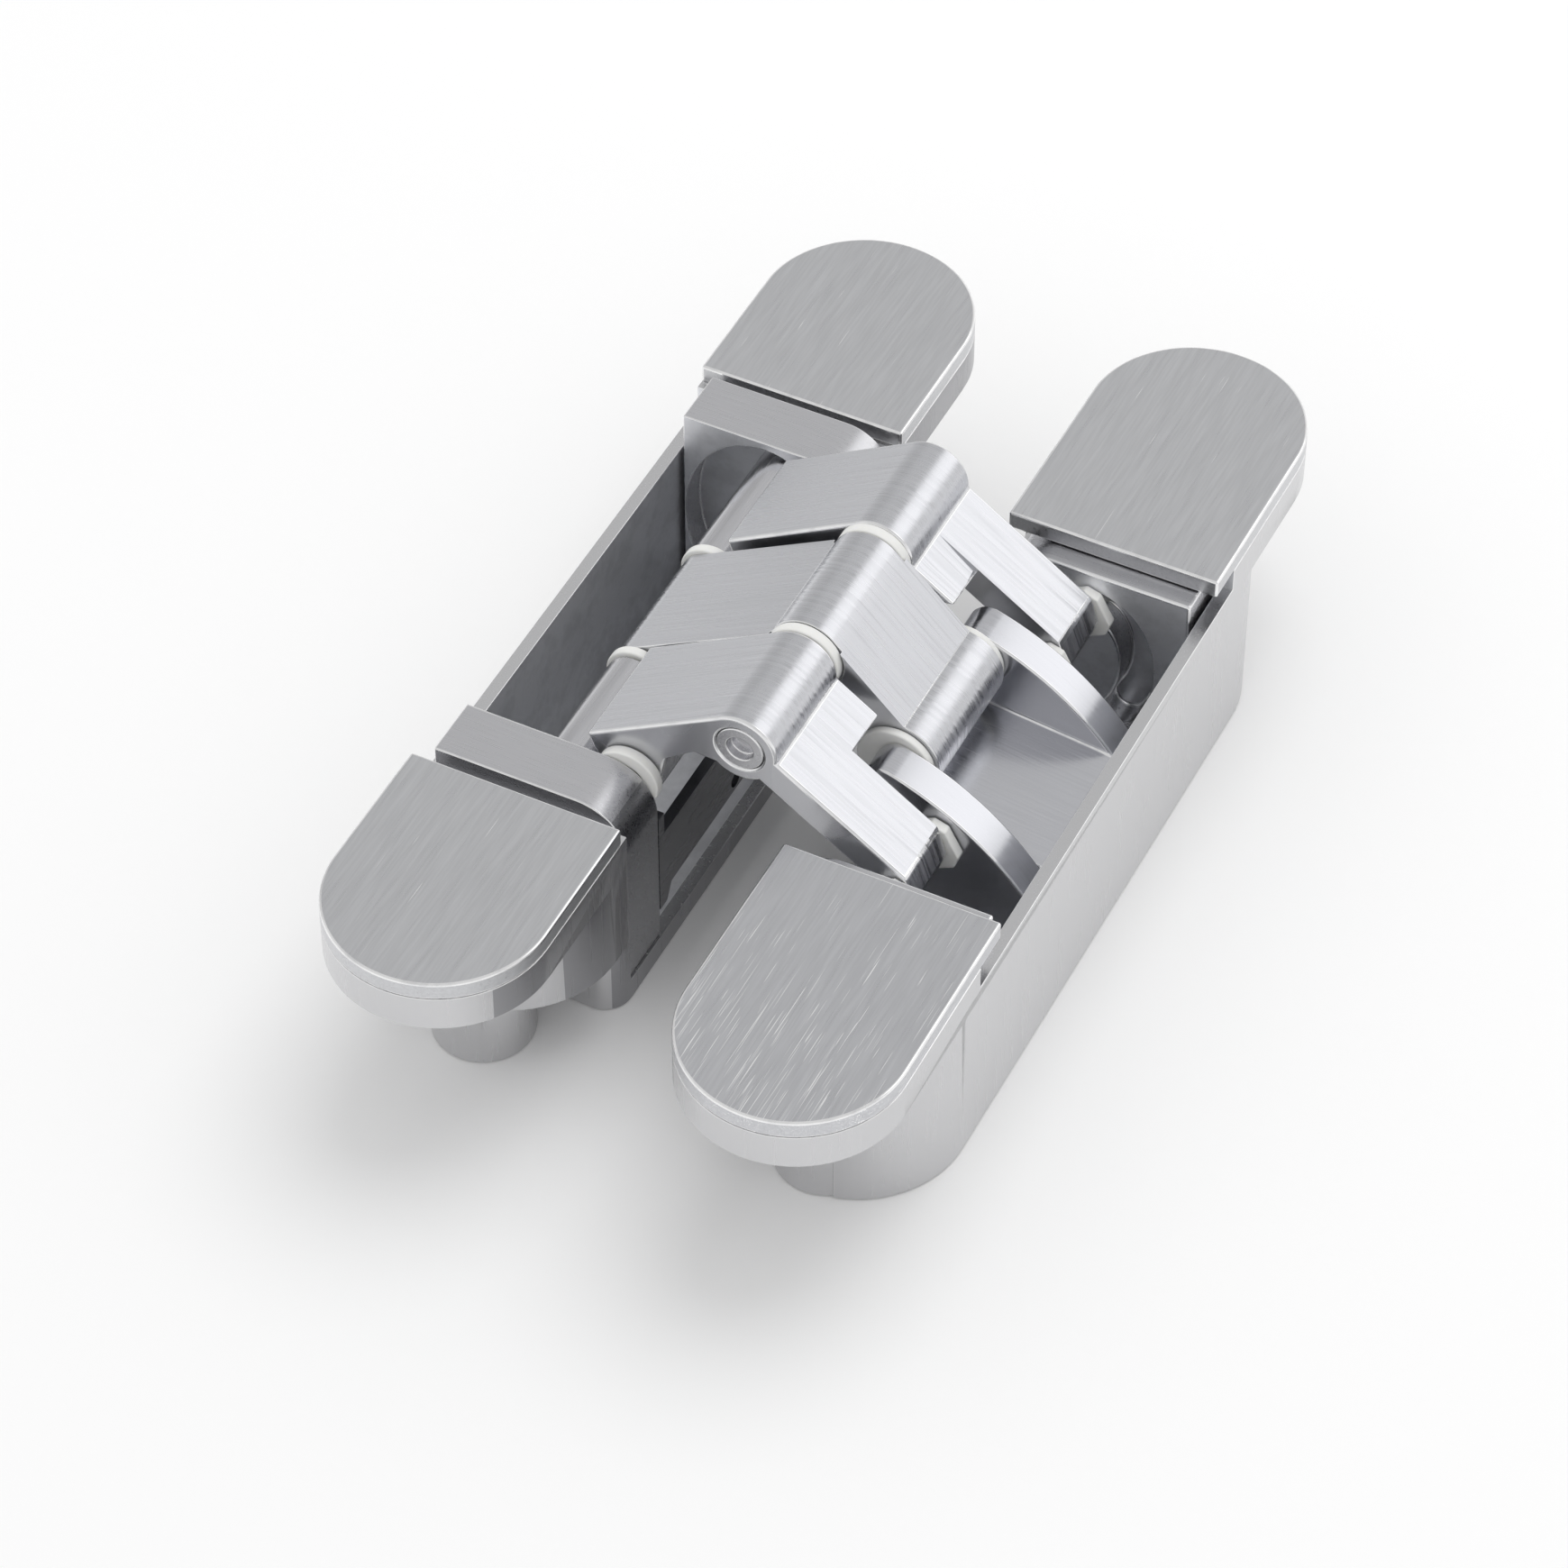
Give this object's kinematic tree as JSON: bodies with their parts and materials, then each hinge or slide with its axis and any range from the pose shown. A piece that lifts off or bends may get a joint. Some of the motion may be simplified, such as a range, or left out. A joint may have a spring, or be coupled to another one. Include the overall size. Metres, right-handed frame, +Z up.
{
  "type": "concealed door hinge",
  "caption": "Concealed door hinge: two mortised housings joined by a folding scissor of arms, shown open, with nylon washers and brushed cover caps.",
  "frame": {"origin": "on the housings' floors, midway between the two housings and halfway along them", "axes": "+X from the left housing to the right one, +Y along the housings towards the rear, +Z up out of the door edges towards the cover caps"},
  "size_m": [0.0844, 0.16, 0.0495],
  "materials": {
    "housing_zinc": "smooth satin die-cast zinc, matt nickel plated",
    "cap_brushed": "cover caps, fine brushing along the hinge",
    "block_brushed": "satin blocks, light brushing",
    "arm_brushed": "brushed arms, streaked along their curve",
    "carrier_satin": "polished satin carrier and scoop",
    "pin_steel": "turned steel pins and screws",
    "nylon_white": "off-white nylon, slightly translucent"
  },
  "bodies": {
    "left_unit": {"left_housing": "housing_zinc", "left_cap_front": "cap_brushed", "left_cap_rear": "cap_brushed", "left_block_front": "block_brushed", "left_block_rear": "block_brushed", "left_pivot_pins": "pin_steel", "left_block_screws": "pin_steel"},
    "outer_arms": {"outer_arm_front": "arm_brushed", "outer_arm_rear": "arm_brushed", "ridge_pin": "pin_steel", "ridge_washers": "nylon_white", "left_pivot_washers": "nylon_white", "right_slide_pins": "pin_steel", "outer_shoes": "nylon_white", "inner_shoes": "nylon_white"},
    "centre_arm": {"centre_arm": "arm_brushed", "left_slide_pin": "pin_steel", "left_slide_sleeves": "pin_steel", "left_slide_washers": "nylon_white", "right_pivot_washers": "nylon_white"},
    "right_unit": {"right_housing": "housing_zinc", "right_cap_front": "cap_brushed", "right_cap_rear": "cap_brushed", "right_block_front": "block_brushed", "right_block_rear": "block_brushed", "horn_carrier": "carrier_satin", "right_pivot_pin": "pin_steel", "right_block_screws": "pin_steel", "carrier_screws": "pin_steel"}
  },
  "joints": [
    {"name": "arm_fold", "type": "hinge", "parent": "left_unit", "child": "outer_arms", "pos_m": [-0.0154, 0, 0.0322], "axis": [0, -1, 0], "range_deg": [0, 120]},
    {"name": "scissor", "type": "hinge", "parent": "outer_arms", "child": "centre_arm", "pos_m": [0.0009, 0, 0.044], "axis": [0, -1, 0], "range_deg": [-60, 0]},
    {"name": "leaf_turn", "type": "hinge", "parent": "centre_arm", "child": "right_unit", "pos_m": [0.0151, 0, 0.0307], "axis": [0, -1, 0], "range_deg": [0, 120]}
  ],
  "couplings": [
    {"joint": "scissor", "follows": "arm_fold", "ratio": -0.5},
    {"joint": "leaf_turn", "follows": "arm_fold", "ratio": 1}
  ]
}
